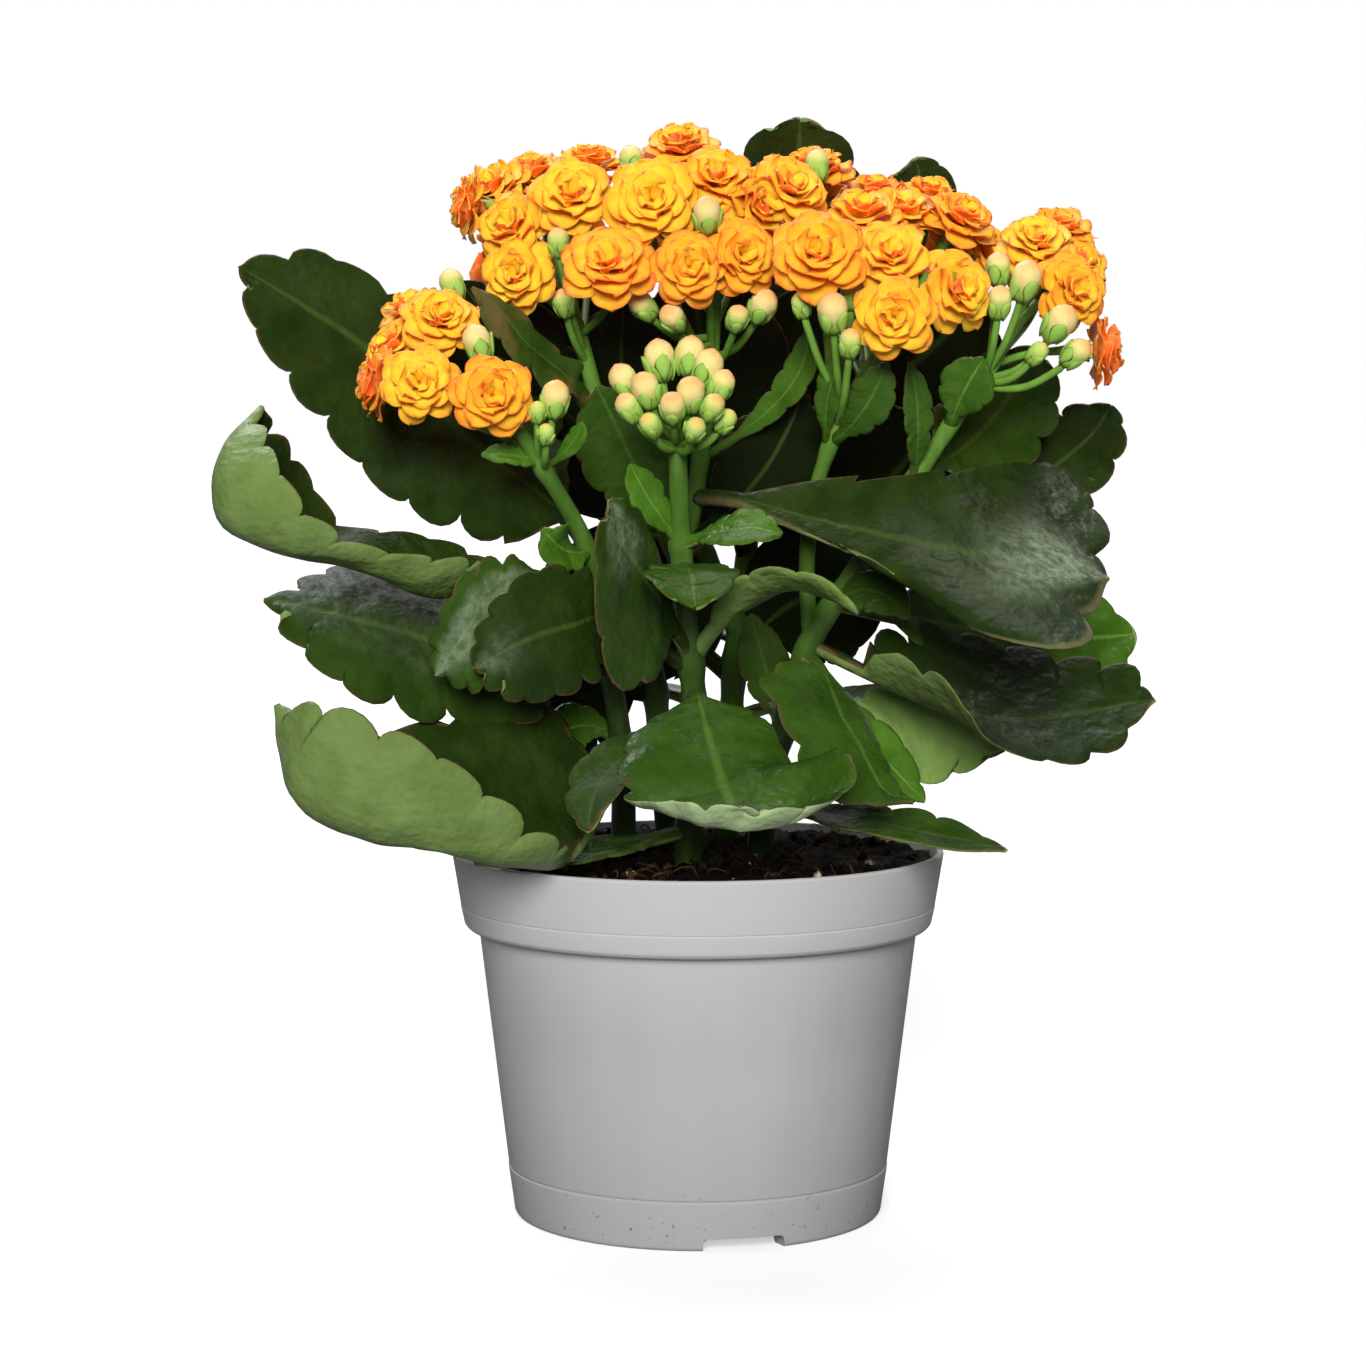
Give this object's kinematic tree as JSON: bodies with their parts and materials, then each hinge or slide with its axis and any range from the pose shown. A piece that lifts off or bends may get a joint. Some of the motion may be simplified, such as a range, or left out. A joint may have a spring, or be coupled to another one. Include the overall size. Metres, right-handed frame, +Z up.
{
  "type": "potted kalanchoe plant",
  "caption": "Flowering kalanchoe with double orange rosettes, buds and scalloped fleshy leaves, in a round tapered nursery pot with a banded rim.",
  "frame": {"origin": "on the surface that the pot stands on, under the middle of the whole plant's footprint, on the pot's axis", "axes": "+Z up along the pot's axis; -Y towards the front of the plant, the side that faces the viewer; +X to the viewer's right"},
  "size_m": [0.2228, 0.1562, 0.2722],
  "materials": {
    "pot_plastic": "thin satin injection-moulded plastic, mid grey",
    "soil": "moist dark peat compost, crumbly and dull",
    "leaf": "waxy fleshy leaf, dark green above and pale green below",
    "petal": "soft matt petal, golden yellow in the middle and orange at the edges"
  },
  "bodies": {
    "root": {"pot": "pot_plastic", "soil": "soil", "greenery_front": "leaf", "greenery_left": "leaf", "greenery_middle": "leaf", "greenery_right": "leaf", "greenery_back": "leaf", "blooms_left_1": "petal", "blooms_left_2": "petal", "blooms_left_3": "petal", "blooms_left_4": "petal", "blooms_left_5": "petal", "blooms_top_left_1": "petal", "blooms_top_left_2": "petal", "blooms_top_left_3": "petal", "blooms_top_left_4": "petal", "blooms_top_left_5": "petal", "blooms_top_left_6": "petal", "blooms_top_left_7": "petal", "blooms_top_1": "petal", "blooms_top_2": "petal", "blooms_top_3": "petal", "blooms_top_4": "petal", "blooms_top_right_1": "petal", "blooms_top_right_2": "petal", "blooms_top_right_3": "petal", "blooms_top_right_4": "petal", "blooms_top_right_5": "petal", "blooms_top_right_6": "petal", "blooms_top_right_7": "petal", "blooms_top_right_8": "petal", "blooms_top_right_9": "petal", "blooms_right_1": "petal", "blooms_right_2": "petal", "blooms_right_3": "petal", "blooms_right_4": "petal", "blooms_back_right_1": "petal", "blooms_back_right_2": "petal", "blooms_back_right_3": "petal", "blooms_back_right_4": "petal", "blooms_back_right_5": "petal", "blooms_back_left_1": "petal", "blooms_back_left_2": "petal", "blooms_back_left_3": "petal", "blooms_back_left_4": "petal", "blooms_back_left_5": "petal"}
  },
  "joints": []
}
